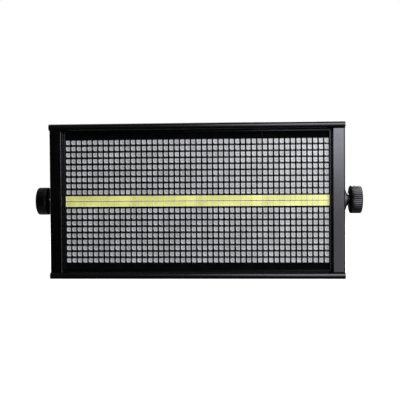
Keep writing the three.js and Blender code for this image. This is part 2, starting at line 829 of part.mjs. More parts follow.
function fuseHolder() {
  const rim = bar('y', fuseRim, [onCover, fuseFace], mediumTurn);
  const body = bar('y', fuseBody, [coverInside - fuseDepth, onCover + fuseRimThickness / 2], mediumTurn);
  const bore = bar('y', fuseBore, [fuseFace - fuseBoreDepth, fuseFace + cutOverrun], mediumTurn);
  return cut(join([rim, body]), [bore]);
}

function fuseCap() {
  const foot = fuseFace + seatGap;
  const head = bar('y', fuseCapDiameter, [foot, foot + fuseCapHeight], mediumTurn);
  const plugDiameter = fuseBore - 2 * fusePlugClearance;
  const plug = bar('y', plugDiameter, [foot - fusePlugLength, foot + fuseCapHeight / 2], mediumTurn);
  const slotDepth = [foot + fuseCapHeight - fuseSlotDepth, foot + fuseCapHeight + cutOverrun];
  const slot = block(about(fuseCapDiameter + 2 * cutOverrun), slotDepth, about(fuseSlotWidth));
  return cut(join([head, plug]), [slot]);
}

add('fuse_holder', fuseHolder(), blackPlastic, [fuseAcross, 0, connectorUp]);
add('fuse_cap', fuseCap(), blackPlastic, [fuseAcross, 0, connectorUp]);

// Safety eye: a base strip on the cover with a tab and a hole for a steel rope
function safetyEye() {
  const baseDepth = [onCover, onCover + eyeThickness];
  const base = block(about(eyeBaseWidth), baseDepth, about(eyeBaseHeight));
  const tip = onCover + eyeReach - eyeWidth / 2;
  const tab = outline([
    [-eyeWidth / 2, onCover + eyeThickness / 2],
    [eyeWidth / 2, onCover + eyeThickness / 2],
    ...bend([0, tip], eyeWidth / 2, 0, 2, beadSteps),
  ]);
  tab.holes.push(circle(0, tip, eyeHole, mediumTurn));
  return join([base, prismAlongZ(tab, about(eyeThickness))]);
}

add('safety_eye', safetyEye(), zincSteel, [0, 0, eyeUp]);

// Yoke: a flat bar bent to a U, rounded at the arm ends
function yoke() {
  const rear = frontToBack;
  const armStart = pivotFromFront - yokeWidth / 2;
  const outerBend = bend([armOutside - yokeBend, rear - yokeBend], yokeBend, 0, 1, beadSteps);
  const innerRadius = yokeBend - yokeThickness;
  const innerBend = bend([armOutside - yokeBend, rear - yokeBend], innerRadius, 1, 0, beadSteps);
  const mirrored = (points) => points.map(([x, y]) => [-x, y]).reverse();
  const strip = outline([
    [armOutside, armStart],
    ...outerBend,
    ...mirrored(outerBend),
    [-armOutside, armStart],
    [-armInside, armStart],
    ...mirrored(innerBend),
    ...innerBend,
    [armInside, armStart],
  ]);
  const ends = outline([
    [rear + cutOverrun, -yokeWidth / 2],
    [rear + cutOverrun, yokeWidth / 2],
    ...bend([pivotFromFront, 0], yokeWidth / 2, 1, 3, 2 * beadSteps),
  ]);
  const wide = about(2 * (armOutside + cutOverrun));
  const bar3d = common(prismAlongZ(strip, about(yokeWidth + 2 * cutOverrun)), prismAlongX(ends, wide));
  const pivot = bar('x', boreOverBolt, wide, mediumTurn).translate(0, pivotFromFront, 0);
  const crossbar = [rear - yokeThickness - cutOverrun, rear + cutOverrun];
  const clampHoles = [[0, clampHole], [-clampSideSpacing, clampSideHole], [clampSideSpacing, clampSideHole]].map(
    ([across, diameter]) => bar('y', diameter, crossbar, mediumTurn).translate(across, 0, 0),
  );
  return cut(bar3d, [pivot, ...clampHoles]);
}

add('yoke', yoke(), blackPaint);

// Knob: a ribbed rim with rounded edges, a boss towards the yoke and a blind bore for the bolt
function knob(side) {
  const radius = knobDiameter / 2;
  const rim = turned([
    [0, knobInside],
    [radius - knobEdge, knobInside],
    [radius, knobInside + knobEdge],
    [radius, knobOutside - knobEdge],
    [radius - knobEdge, knobOutside],
    [0, knobOutside],
  ], 2 * knobRibs);
  const place = rim.attributes.position;
  const smallest = radius - 2 * knobEdge;
  for (let i = 0; i < place.count; i += 1) {
    const [x, z] = [place.getX(i), place.getZ(i)];
    const reach = Math.hypot(x, z);
    const step = Math.round((Math.atan2(z, x) / Math.PI) * knobRibs);
    if (reach > smallest && step % 2 !== 0) {
      const share = (reach - knobRibDepth) / reach;
      place.setX(i, x * share);
      place.setZ(i, z * share);
    }
  }
  const boss = bar('y', knobBossDiameter, [bossStart, knobInside + knobEdge], mediumTurn);
  const boreEnd = knobOutside - knobBoreFloor;
  const bore = bar('y', boreOverBolt, [bossStart - cutOverrun, boreEnd], mediumTurn);
  return cut(join([rim, boss]), [bore]).rotateZ(-side * Math.PI / 2);
}

function flatRingAtSide(inner, outer, start, thickness, side, turn) {
  return ring(inner, outer, [start, start + thickness], turn).rotateZ(-side * Math.PI / 2);
}

function pivotBolt(side) {
  const headStart = innerHalfWidth - seatGap - pivotPlateThickness - seatGap;
  const head = bar('y', boltHeadAcrossCorners, [headStart - boltHead, headStart], hexagon);
  const shankEnd = knobOutside - knobBoreFloor - seatGap;
  const shank = bar('y', boltDiameter, [headStart - boltHead / 2, shankEnd], mediumTurn);
  return join([head, shank]).rotateZ(-side * Math.PI / 2);
}

function pivotPlate(side) {
  const span = [innerHalfWidth - seatGap - pivotPlateThickness, innerHalfWidth - seatGap];
  const plate = block(span.map((x) => side * x), about(pivotPlateSize), about(pivotPlateSize));
  const through = about(2 * (innerHalfWidth + cutOverrun));
  return cut(plate, [bar('x', boreOverBolt, through, mediumTurn)]);
}

for (const [word, side] of [['left', -1], ['right', 1]]) {
  const place = [0, pivotFromFront, 0];
  const disc = flatRingAtSide(boreOverBolt, frictionDiameter, frictionStart, frictionThickness, side, mediumTurn);
  const washer = flatRingAtSide(boreOverBolt, washerDiameter, washerStart, washerThickness, side, mediumTurn);
  add(`pivot_plate_${word}`, pivotPlate(side), zincSteel, place);
  add(`pivot_bolt_${word}`, pivotBolt(side), zincSteel, place);
  add(`friction_disc_${word}`, disc, darkRubber, place);
  add(`pivot_washer_${word}`, washer, blackOxide, place);
  add(`knob_${word}`, knob(side), blackPlastic, place);
}

// Pan-head screws, drawn with the underside of the head at zero
function screw() {
  const [shank, head] = [screwDiameter / 2, screwHeadDiameter / 2];
  const profile = [
    [0, -screwLength],
    [shank, -screwLength],
    [shank, 0],
    [head, 0],
    [head, screwHead - screwCrown],
    [head - screwCrown, screwHead],
    [0, screwHead],
  ];
  return toGeometry(toSolid(turned(profile, screwTurn)));
}

const screwGeometry = screw();
for (const [word, side] of [['left', -1], ['right', 1]]) {
  coverScrewHeights.forEach((height, i) => {
    add(`cover_screw_${word}_${i + 1}`, screwGeometry, blackOxide, [side * coverScrewAcross, onCover, height]);
  });
  const sideways = screwGeometry.clone().rotateZ(-side * Math.PI / 2);
  const corners = [-1, 1].flatMap((up) => channelPlaces.map((place) => [place, up * channelHeight]));
  corners.forEach(([place, height], i) => {
    const seat = side * (halfWidth + seatGap);
    add(`side_screw_${word}_${i + 1}`, sideways, blackOxide, [seat, place, height]);
  });
}

export default strobeLight;
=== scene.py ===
"""A stage strobe light: housing, four boards of LEDs, rear fans and connectors, yoke and knobs."""

import json
import math
import bmesh
import bpy
from mathutils import Matrix, Vector


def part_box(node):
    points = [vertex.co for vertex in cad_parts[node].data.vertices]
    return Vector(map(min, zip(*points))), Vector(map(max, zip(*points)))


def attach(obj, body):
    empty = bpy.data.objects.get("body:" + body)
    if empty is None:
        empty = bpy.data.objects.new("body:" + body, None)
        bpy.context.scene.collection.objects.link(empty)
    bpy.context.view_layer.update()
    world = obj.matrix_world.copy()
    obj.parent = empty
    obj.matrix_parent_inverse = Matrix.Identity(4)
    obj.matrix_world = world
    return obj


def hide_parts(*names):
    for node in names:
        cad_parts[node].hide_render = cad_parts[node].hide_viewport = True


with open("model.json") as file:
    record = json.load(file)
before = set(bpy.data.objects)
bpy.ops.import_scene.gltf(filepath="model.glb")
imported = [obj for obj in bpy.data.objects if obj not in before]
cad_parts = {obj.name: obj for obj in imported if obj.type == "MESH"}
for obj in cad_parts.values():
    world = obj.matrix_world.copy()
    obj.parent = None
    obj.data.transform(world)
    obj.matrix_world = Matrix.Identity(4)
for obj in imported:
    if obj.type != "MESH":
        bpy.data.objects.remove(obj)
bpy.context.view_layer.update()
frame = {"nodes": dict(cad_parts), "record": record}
MM = 0.001

# Lengths are in millimetres and angles in degrees, unless a comment says otherwise

# The housing's own frame: Y = 0 is its front plane and Z = 0 its half height
FRONT = -82.5
MIDDLE = 86.6
PIVOT = 44.0

# LED boards. COLUMN_PITCH and COLOUR_DROP are fitted to the photo: the solid boards use 6.2 and 0
BOARDS = 4
COLUMNS = 12
BOARD_PITCH = 74.4
COLUMN_PITCH = 6.167
COLOUR_DROP = 0.22
ROW_PITCH = 7.0
COLOUR_ROWS = 9
FIRST_COLOUR_ROW = 10.5
WHITE_ROW_PITCH = 6.3
BOARD_FACE = 13.6
BOARD_THICKNESS = 1.6
BOARD_GAP = 0.3
BOARD_HEIGHT = 155.2
BOARD_CHAMFER = 0.18
BARE_EDGE_SHARE = 0.896

# Colour packages
COLOUR_LED = 4.9
COLOUR_LED_TOP = 4.2
COLOUR_LED_HEIGHT = 1.6
CAVITY = 3.55
CAVITY_FLOOR = 3.05
CAVITY_DEPTH = 0.42
PIN_CORNER = 0.45
PIN_CORNER_POINT = 10
RING_POINTS = 16
THREE_ABREAST = (-1, 0, 1)
DIE = 0.42
DIE_HEIGHT = 0.1
DIE_SPREAD = 0.95
LEAD_WIDTH = 0.9
LEAD_SPACING = 1.55
LEAD_REACH = 0.4
LEAD_OVERLAP = 0.1
LEAD_HEIGHT = 0.55

# White packages: WHITE_LED_SHARE is their height over their width, and WHITE_LED_CORNER the share
# of a side that is straight
WHITE_LED = 6.0
WHITE_LED_TOP = 5.9
WHITE_LED_HEIGHT = 1.4
PHOSPHOR = 4.9
PHOSPHOR_DEPTH = 0.12
PHOSPHOR_TAPER = 0.12
WHITE_LED_SHARE = 0.955
WHITE_LED_CORNER = 0.94

# Front fold of the side panels
LIP = (150.8, 3.5)
LIP_REACH = 0.1
LIP_BEND = 0.7
LIP_SEGMENTS = 5

# Large outer faces of the panels, as distances from the housing's middle. A face is square to an
# axis when its normal has more than SQUARE_ON along it
SIDE_FACE = 164.0
LEVEL_FACE = 86.0
SQUARE_ON = 0.99

# Rounded edges of the CAD pieces; merge distances; steps of a turned shape, and its radius where
# it closes on the axis
EDGE_SEGMENTS = 2
EDGE_ANGLE = 35
EDGE_DEFAULT = 0.15
WELD_METRES = 1e-5
DOUBLES_METRES = 1e-6
TURN_STEPS = 48
AXIS = 0.01

# Clamp stack outwards from the side panel
DISC_SPAN = (164.55, 166.75)
DISC_RADIUS = 12.0
WASHER_SPAN = (170.35, 171.95)
WASHER_RADIUS = 8.0
WASHER_EDGE = 0.25
BOLT_HOLE = 4.3
BOSS_START = 172.25
BOSS_RADIUS = 6.5
KNOB_INSIDE = 174.95
KNOB_OUTSIDE = 187.95
KNOB_RADIUS = 16.0
KNOB_EDGE = 1.3
KNOB_RIBS = 40
RIB_STEPS = 6
RIB_DEPTH = 0.5
RIB_SHARPNESS = 1.6
CORNER_SHARE = 0.3
KNOB_DISH = 13.0
KNOB_DISH_DEPTH = 0.7
KNOB_CAP_FOOT = 7.0
KNOB_CAP = 6.4
KNOB_CAP_FLAT = 3.0

# Rear
COVER_FACE = 88.15
CONNECTOR_FACE = 90.65
CONNECTOR_UP = -48.0
# Place across, bezel's inner and outer radius, and look of each connector
CONNECTORS = {
    "power_inlet": (-130.0, 9.9, 11.9, "blue_plastic"),
    "power_outlet": (-96.0, 9.9, 11.9, "grey_plastic"),
    "dmx_input": (96.0, 9.2, 11.4, "zinc_steel"),
    "dmx_output": (130.0, 10.6, 11.8, "zinc_steel"),
}
BEZEL_HEIGHT = 0.7
BEZEL_SEAT = 0.05
FLANGE_SCREW = (10.0, 12.4)
FLANGE_SCREW_SCALE = 0.72
KEY_UP = -62.0
KEY_PITCH = 14.0
KEY_RADIUS = 3.2
KEY_FOOT = 79.5
KEY_TOP = 89.85
KEY_STEPS = 32
KEYS = ("key_menu", "key_down", "key_up", "key_enter")
WINDOW = (42.0, 16.0)
WINDOW_UP = -38.0
WINDOW_SPAN = (86.35, 87.85)
DIGITS = 4
DIGIT_PITCH = 9.6
DIGIT_WIDTH = 5.6
DIGIT_HEIGHT = 10.4
SEGMENT = 1.0
SEGMENT_GAP = 1.5
DIGIT_DEPTH = 0.1
DIGIT_RAISE = 0.03
FAN_ACROSS = 108.0
FAN_UP = 34.0
GUARD_Y = 89.15
GUARD_WIRE = 0.9
GUARD_RINGS = (12.0, 24.0, 36.0)
GUARD_RING_LIFT = 0.05
GUARD_RING_STEPS = 64
GUARD_CORNER = 50.2
GUARD_EYE = 3.1
GUARD_EYE_STEPS = 20
GUARD_SCREW_LIFT = 0.6
WIRE_STEPS = 10
DIAGONAL = math.sqrt(0.5)
ROTOR_FRONT = 62.55
HUB_RADIUS = 17.0
HUB_DEPTH = 17.0
BLADES = 7
BLADE_TIP = 36.8
BLADE_CHORD = 19.0
BLADE_ROOT = 1.0
BLADE_STATIONS = 6
BLADE_CHORD_STEPS = 8
BLADE_PITCH = 48
BLADE_TWIST = 20
BLADE_SWEEP = 8
BLADE_BOW = 0.14
BLADE_THICKNESS = 0.7
BLADE_THINNING = 1.6
BLADE_ROOT_SHARE = 1.15
BLADE_TIP_LOSS = 0.5
BLADE_ACROSS = 0.95
BLADE_ALONG = 0.75
SCREW_HEAD = 2.8
SCREW_HEIGHT = 1.7
SCREW_CROSS = 1.45
SCREW_SLOT = 0.42
SCREW_DEPTH = 0.9
SCREW_STEPS = 24
# Points of the head's rounding: inwards from the rim, and below the top
SCREW_DOME = ((0, 1.0), (0.2, 0.5), (0.7, 0.12), (1.1, 0))
CROSS_TAPER = 0.7

# Camera: place in metres, and its yaw, pitch and roll
LENS = 62.42
SENSOR = 36
CLIP_METRES = (0.01, 50)
CAMERA_PLACE = (0.0466, -0.8462, 0.10195)
CAMERA_TURN = (3.134, 1.061, -0.397)

# Studio, in metres; the world brightens from one value of Y to the other
FLOOR_RADIUS = 2.9
FLOOR_LEVEL = -0.0002
BACKDROP_RADIUS = 3.0
WORLD_SPAN = (-0.2, 0.4)
WORLD_STRENGTH = (0.0, 0.5)


# Materials

COOL = (0.87, 0.865, 1.0, 1.0)
SHADER = "Principled BSDF"
NOISE_SPAN = (0.3, 0.7)
COPPER_AREAS_PER_MM = 0.16


def look(name, colour, roughness, **sockets):
    """A named material whose fixed numbers are set on the shader itself."""
    made = bpy.data.materials.new(name)
    made.use_nodes = True
    inputs = made.node_tree.nodes[SHADER].inputs
    inputs["Base Color"].default_value = (*colour, 1.0)
    inputs["Roughness"].default_value = roughness
    for socket, value in sockets.items():
        inputs[socket.replace("_", " ")].default_value = value
    return made


def node(made, kind, **settings):
    new = made.node_tree.nodes.new(kind)
    for key, value in settings.items():
        setattr(new, key, value)
    return new


def feed(made, output, socket):
    """Links a node's output to a socket of the shader."""
    made.node_tree.links.new(output, made.node_tree.nodes[SHADER].inputs[socket])


def noise(made, scale, stretch=(1, 1, 1), detail=3.0):
    """Noise in the object's own coordinates; the scale counts waves per millimetre."""
    links = made.node_tree.links
    coordinates = node(made, "ShaderNodeTexCoord")
    mapping = node(made, "ShaderNodeMapping")
    mapping.inputs["Scale"].default_value = [s * scale / MM for s in stretch]
    texture = node(made, "ShaderNodeTexNoise")
    texture.inputs["Scale"].default_value = 1.0
    texture.inputs["Detail"].default_value = detail
    links.new(coordinates.outputs["Object"], mapping.inputs["Vector"])
    links.new(mapping.outputs["Vector"], texture.inputs["Vector"])
    return texture.outputs["Fac"]


def tint(made, amount, dark, light, low=0.35, high=0.65):
    """Colours the surface between two colours."""
    ramp = node(made, "ShaderNodeValToRGB")
    ramp.color_ramp.elements[0].position = low
    ramp.color_ramp.elements[1].position = high
    ramp.color_ramp.elements[0].color = (*dark, 1)
    ramp.color_ramp.elements[1].color = (*light, 1)
    made.node_tree.links.new(amount, ramp.inputs["Fac"])
    feed(made, ramp.outputs["Color"], "Base Color")


def gloss(made, amount, low, high):
    """Varies the roughness between two values."""
    remap = node(made, "ShaderNodeMapRange")
    remap.inputs["From Min"].default_value, remap.inputs["From Max"].default_value = NOISE_SPAN
    remap.inputs["To Min"].default_value = low
    remap.inputs["To Max"].default_value = high
    made.node_tree.links.new(amount, remap.inputs["Value"])
    feed(made, remap.outputs["Result"], "Roughness")


def bump(made, amount, height, strength):
    """Raises the surface by a height in millimetres."""
    bumps = node(made, "ShaderNodeBump")
    bumps.inputs["Strength"].default_value = strength
    bumps.inputs["Distance"].default_value = height * MM
    made.node_tree.links.new(amount, bumps.inputs["Height"])
    feed(made, bumps.outputs["Normal"], "Normal")


def shaded(value):
    return (value, value, value * 1.04)


def powder_coat(name, level, roughness):
    """Satin powder coat: orange peel, and faint patches of gloss and colour."""
    made = look(name, shaded(level), roughness, Specular_IOR_Level=0.72, Specular_Tint=COOL)
    tint(made, noise(made, scale=0.02), dark=shaded(level * 0.8), light=shaded(level * 1.3))
    gloss(made, noise(made, scale=0.06), low=roughness - 0.03, high=roughness + 0.04)
    bump(made, noise(made, scale=0.8), height=0.01, strength=0.5)
    return made


def anodised(name, level, roughness):
    """Black anodised extrusion with fine lines along X."""
    made = look(name, shaded(level), roughness, Specular_Tint=COOL)
    lines = noise(made, scale=1.6, stretch=(0.01, 1, 1), detail=4.0)
    tint(made, lines, dark=shaded(level * 0.8), light=shaded(level * 1.25))
    gloss(made, lines, low=roughness - 0.04, high=roughness + 0.05)
    bump(made, lines, height=0.01, strength=0.3)
    return made


def times(colour, share):
    return tuple(min(1.0, share * c) for c in colour)


def metal(name, colour, roughness):
    """Bare or plated metal with a grain and a slight change of tone."""
    made = look(name, colour, roughness, Metallic=1.0)
    grain = noise(made, scale=0.3, detail=5.0)
    tint(made, grain, dark=times(colour, 0.82), light=times(colour, 1.1))
    gloss(made, grain, low=roughness - 0.06, high=roughness + 0.08)
    bump(made, grain, height=0.01, strength=0.3)
    return made


def moulded(name, colour, roughness, grain=1.5, **sockets):
    """Moulded plastic with a fine spark texture."""
    made = look(name, colour, roughness, **sockets)
    speckle = noise(made, grain, detail=2.0)
    tint(made, noise(made, scale=0.05), dark=times(colour, 0.85), light=times(colour, 1.15))
    gloss(made, speckle, low=roughness - 0.05, high=roughness + 0.06)
    bump(made, speckle, height=0.02, strength=0.5)
    return made


def circuit(name, mask, copper, specular=0.3):
    """Solder mask over copper areas, whose edges show as a change of tone and level."""
    made = look(name, mask, 0.7, Specular_IOR_Level=specular)
    copper_areas = node(made, "ShaderNodeTexVoronoi", distance="MANHATTAN")
    copper_areas.inputs["Scale"].default_value = COPPER_AREAS_PER_MM / MM
    coordinates = node(made, "ShaderNodeTexCoord")
    made.node_tree.links.new(coordinates.outputs["Object"], copper_areas.inputs["Vector"])
    tint(made, copper_areas.outputs["Color"], dark=mask, light=copper, low=0.45, high=0.5)
    bump(made, copper_areas.outputs["Distance"], height=0.02, strength=0.3)
    return made


LOOKS = {
    "anodised_panel": anodised("anodised_panel", 0.002, 0.24),
    "housing_paint": powder_coat("housing_paint", 0.001, 0.2),
    "led_board": circuit("led_board", shaded(0.0012), shaded(0.002), 0.02),
    "circuit_board": circuit("circuit_board", (0.012, 0.07, 0.025), (0.03, 0.14, 0.05)),
    "zinc_steel": metal("zinc_steel", (0.55, 0.56, 0.58), 0.38),
    "black_plastic": moulded("black_plastic", shaded(0.02), 0.5),
    "display_glass": moulded("display_glass", (0.03, 0.004, 0.004), 0.12, 0.05),
    "key_plastic": moulded("key_plastic", (0.3, 0.31, 0.32), 0.45),
    "guard_chrome": metal("guard_chrome", (0.75, 0.76, 0.78), 0.14),
    "blue_plastic": moulded("blue_plastic", (0.02, 0.08, 0.36), 0.35),
    "grey_plastic": moulded("grey_plastic", (0.35, 0.36, 0.38), 0.35),
    "yoke_paint": powder_coat("yoke_paint", 0.012, 0.42),
    "disc_rubber": moulded("disc_rubber", shaded(0.015), 0.75),
    "knob_plastic": moulded(
        "knob_plastic", shaded(0.002), 0.22, Specular_IOR_Level=0.5, Specular_Tint=COOL),
    "screw_steel": metal("screw_steel", shaded(0.06), 0.3),
}
LED_PLASTIC = moulded("led_plastic", (0.56, 0.57, 0.61), 0.37, 3.0, Specular_IOR_Level=1.0)
# Painted shade: the side walls of a colour package, far darker than its grey body
LED_SIDE_PAINTED_SHADE = moulded("led_side_painted_shade", (0.08, 0.082, 0.085), 0.6, 3.0)
LED_FLOOR = moulded("led_floor", (0.4, 0.405, 0.43), 0.33, 2.0, Specular_IOR_Level=1.0)
LED_DIE = look("led_die", (0.05, 0.05, 0.045), 0.25)
LED_LEAD = metal("led_lead", (0.38, 0.38, 0.39), 0.42)
WHITE_PLASTIC = moulded("white_plastic", (0.77, 0.78, 0.57), 0.42, 3.0, Specular_IOR_Level=1.0)
PHOSPHOR_GEL = moulded("phosphor_gel", (0.74, 0.75, 0.1), 0.4, 2.0, Specular_IOR_Level=1.0)
BOARD_EDGE = moulded("board_edge", shaded(0.035), 0.6)
DIGIT_GREY = moulded("digit_grey", (0.09, 0.03, 0.03), 0.3)
BRIGHT_SCREW = metal("bright_screw", (0.5, 0.5, 0.52), 0.3)
KNOB_BOSS = moulded("knob_boss", shaded(0.004), 0.15, Specular_IOR_Level=0.8, Specular_Tint=COOL)
KNOB_BACK = moulded("knob_back", shaded(0.004), 0.7, Specular_IOR_Level=0.05)
MATT_PANEL = anodised("matt_panel", 0.002, 0.55)
MATT_SIDE = powder_coat("matt_side", 0.004, 0.42)
# Painted shade for the level faces inside the recess round the LEDs: near-black that barely
# reflects
SHADED_RECESS = moulded("recess_painted_shade", shaded(0.0012), 0.6, Specular_IOR_Level=0.02)
# Painted shade: dark steel for the power supply, standing in for the dark inside the housing
SHADED_STEEL = metal("steel_painted_shade", (0.09, 0.09, 0.095), 0.55)


# Shapes

def circle_angles(steps):
    return [2 * math.pi * i / steps for i in range(steps)]


class Shape:
    """Points in millimetres, and faces that each have a look."""

    def __init__(self):
        self.points = []
        self.faces = []
        self.looks = []

    def rings(self, rings, looks=0, first=None, last=None):
        """Joins closed rings of equal length.

        looks is one look, or a list with one for each step. first and last are the looks of the
        faces that close the ends, which stay open without them.
        """
        count = len(rings[0])
        start = len(self.points)
        for ring in rings:
            self.points.extend(ring)
        for step in range(len(rings) - 1):
            low = start + step * count
            for i in range(count):
                j = (i + 1) % count
                self.faces.append([low + i, low + j, low + count + j, low + count + i])
                self.looks.append(looks[step] if isinstance(looks, (list, tuple)) else looks)
        if first is not None:
            self.faces.append(list(range(start, start + count))[::-1])
            self.looks.append(first)
        if last is not None:
            end = start + len(rings) * count
            self.faces.append(list(range(end - count, end)))
            self.looks.append(last)

    def turned(self, profile, steps, place, looks=0, radius=lambda angle, r: r):
        """Turns a profile of (distance along the axis, radius).

        place maps (along, u, v) to a point.
        """
        rings = []
        for along, r in profile:
            ring = []
            for angle in circle_angles(steps):
                reach = radius(angle, r)
                ring.append(place(along, reach * math.cos(angle), reach * math.sin(angle)))
            rings.append(ring)
        self.rings(rings, looks)

    def box(self, x, y, z, look_index):
        start = len(self.points)
        self.points.extend((i, j, k) for i in x for j in y for k in z)
        faces = [(0, 1, 3, 2), (4, 6, 7, 5), (0, 4, 5, 1), (2, 3, 7, 6), (0, 2, 6, 4), (1, 5, 7, 3)]
        self.faces.extend([start + i for i in face] for face in faces)
        self.looks.extend([look_index] * len(faces))

    def mesh(self, name, looks, smooth=35):
        """Makes the mesh; edges sharper than smooth stay sharp, and with 0 all faces stay flat."""
        mesh = bpy.data.meshes.new(name)
        mesh.from_pydata([Vector(p) * MM for p in self.points], [], self.faces)
        for each in looks:
            mesh.materials.append(each)
        mesh.polygons.foreach_set("material_index", self.looks)
        work = bmesh.new()
        work.from_mesh(mesh)
        bmesh.ops.remove_doubles(work, verts=work.verts, dist=DOUBLES_METRES)
        bmesh.ops.recalc_face_normals(work, faces=work.faces)
        work.to_mesh(mesh)
        work.free()
        if smooth:
            mesh.shade_smooth()
            mesh.set_sharp_from_angle(angle=math.radians(smooth))
        return mesh


def along_y(along, u, v):
    return (u, along, v)


def along_x(along, u, v):
    return (along, u, v)


def piece(name, mesh, body, nodes, place, turn=None, scale=1.0):
    """Puts a mesh into the scene at a place in the housing's frame."""
    made = bpy.data.objects.new(name, mesh)
    bpy.context.scene.collection.objects.link(made)
    x, y, z = place
    matrix = Matrix.Translation(Vector((x, y + FRONT, z + MIDDLE)) * MM)
    if turn is not None:
        matrix = matrix @ turn.to_4x4()
    made.matrix_world = matrix @ Matrix.Scale(scale, 4)
    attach(made, body)
    if nodes:
        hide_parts(*nodes)


def bevel(made, width):
    """Rounds the edges of a piece and keeps its flat faces flat."""
    edge = made.modifiers.new("edges", "BEVEL")
    edge.width = width * MM
    edge.segments = EDGE_SEGMENTS
    edge.limit_method = "ANGLE"
    edge.angle_limit = math.radians(EDGE_ANGLE)
    made.modifiers.new("normals", "WEIGHTED_NORMAL").keep_sharp = True


def finish_faces(mesh, matt, recess):
    """Adds a matt finish on the large outer faces and painted shade, a dull near-black, on the
    level faces inside.

    The piece's own look is number 0, the matt one 1 and the painted shade 2.
    """
    mesh.materials.append(matt)
    mesh.materials.append(recess)
    for polygon in mesh.polygons:
        x, up, normal = polygon.center.x, polygon.center.z - MIDDLE * MM, polygon.normal
        upright, level = abs(normal.x) > SQUARE_ON, abs(normal.z) > SQUARE_ON
        if upright and abs(x) > SIDE_FACE * MM or level and abs(up) > LEVEL_FACE * MM:
            polygon.material_index = 1
        # Level faces that face into the recess get the painted shade
        elif level and normal.z * up < 0:
            polygon.material_index = 2


def round_lip(cad):
    """Rounds the long front edge of the fold beside the LEDs."""
    mesh = cad.data
    weights = mesh.attributes.new("bevel_weight_edge", "FLOAT", "EDGE")
    front, inner = (FRONT + LIP[1]) * MM, LIP[0] * MM

    def on_lip(index):
        x, y, _ = mesh.vertices[index].co
        return abs(abs(x) - inner) < LIP_REACH * MM and abs(y - front) < LIP_REACH * MM

    for edge in mesh.edges:
        if all(on_lip(i) for i in edge.vertices):
            weights.data[edge.index].value = 1.0
    fold = cad.modifiers.new("fold", "BEVEL")
    fold.width = LIP_BEND * MM
    fold.segments = LIP_SEGMENTS
    fold.limit_method = "WEIGHT"


def span(size, middle=0.0):
    return (middle - size / 2, middle + size / 2)


# LED boards

# Numbers of the looks on a board's mesh, in the order of BOARD_LOOKS
BODY, FLOOR, CHIP, LEAD, PALE, GEL, MASK, BARE, SHADED_WALL = range(9)
BOARD_LOOKS = [LED_PLASTIC, LED_FLOOR, LED_DIE, LED_LEAD, WHITE_PLASTIC, PHOSPHOR_GEL,
               LOOKS["led_board"], BOARD_EDGE, LED_SIDE_PAINTED_SHADE]


def square_ring(half, y):
    """Points on a square's edge at a depth; the corner that marks pin 1 is cut."""
    points = []
    for i, angle in enumerate(circle_angles(RING_POINTS)):
        u, v = math.cos(angle), math.sin(angle)
        reach = half / max(abs(u), abs(v))
        if i == PIN_CORNER_POINT:
            reach -= PIN_CORNER
        points.append((reach * u, y, reach * v))
    return points


def round_ring(radius, y, steps=RING_POINTS):
    return [(radius * math.cos(a), y, radius * math.sin(a)) for a in circle_angles(steps)]


def moved(points, x, z):
    return [(px + x, py, pz + z) for px, py, pz in points]


def colour_led(shape, x, z):
    """One colour package: grey body with painted shade on its walls, round cavity, three dies, six
    leads.
    """
    top = -COLOUR_LED_HEIGHT
    floor = top + CAVITY_DEPTH
    rings = [
        square_ring(COLOUR_LED / 2, 0.0),
        square_ring(COLOUR_LED_TOP / 2, top),
        round_ring(CAVITY / 2, top),
        round_ring(CAVITY_FLOOR / 2, floor),
    ]
    shape.rings([moved(ring, x, z) for ring in rings], (SHADED_WALL, BODY, BODY), last=FLOOR)
    for i in THREE_ABREAST:
        shape.box(span(DIE, x + i * DIE_SPREAD), (floor - DIE_HEIGHT, floor), span(DIE, z), CHIP)
    for side in (-1, 1):
        edge = z + side * COLOUR_LED / 2
        ends = sorted((edge - side * LEAD_OVERLAP, edge + side * LEAD_REACH))
        for i in THREE_ABREAST:
            shape.box(span(LEAD_WIDTH, x + i * LEAD_SPACING), (-LEAD_HEIGHT, 0), ends, LEAD)


def white_led(shape, x, z):
    """One white package: a pale frame round a square of yellow phosphor."""
    top = -WHITE_LED_HEIGHT
    rings = []
    for half, y in (
        (WHITE_LED / 2, 0.0),
        (WHITE_LED_TOP / 2, top),
        (PHOSPHOR / 2, top),
        (PHOSPHOR / 2 - PHOSPHOR_TAPER, top + PHOSPHOR_DEPTH),
    ):
        cut = half * WHITE_LED_CORNER
        rings.append([(x + u, y, z + WHITE_LED_SHARE * v) for u, v in (
            (half, -cut), (half, cut), (cut, half), (-cut, half),
            (-half, cut), (-half, -cut), (-cut, -half), (cut, -half))])
    shape.rings(rings, PALE, last=GEL)


def led_board_mesh(board_middle, first_column):
    """One board with its packages, whose columns keep one pitch over all boards."""
    shape = Shape()
    half, high, c = (BOARD_PITCH - BOARD_GAP) / 2, BOARD_HEIGHT / 2, BOARD_CHAMFER
    s = BARE_EDGE_SHARE
    outline = [(-1, -1), (1, -1), (1, -s), (1, s), (1, 1), (-1, 1), (-1, s), (-1, -s)]
    rings = [[(u * (half - cut), y, v * (high - cut)) for u, v in outline]
             for cut, y in ((0, BOARD_THICKNESS), (0, c), (c, 0))]
    shape.rings(rings, BARE, first=BARE, last=MASK)
    edge_looks = [MASK, MASK, BARE, MASK, MASK, MASK, BARE, MASK] * (len(rings) - 1)
    shape.looks[:len(edge_looks)] = edge_looks
    for column in range(COLUMNS):
        x = (first_column + column - (BOARDS * COLUMNS - 1) / 2) * COLUMN_PITCH - board_middle
        for row in (-0.5, 0.5):
            white_led(shape, x, row * WHITE_ROW_PITCH)
        for row in range(COLOUR_ROWS):
            z = FIRST_COLOUR_ROW + row * ROW_PITCH
            colour_led(shape, x, z - COLOUR_DROP)
            colour_led(shape, x, -z - COLOUR_DROP)
    return shape.mesh("led_board", BOARD_LOOKS, smooth=0)


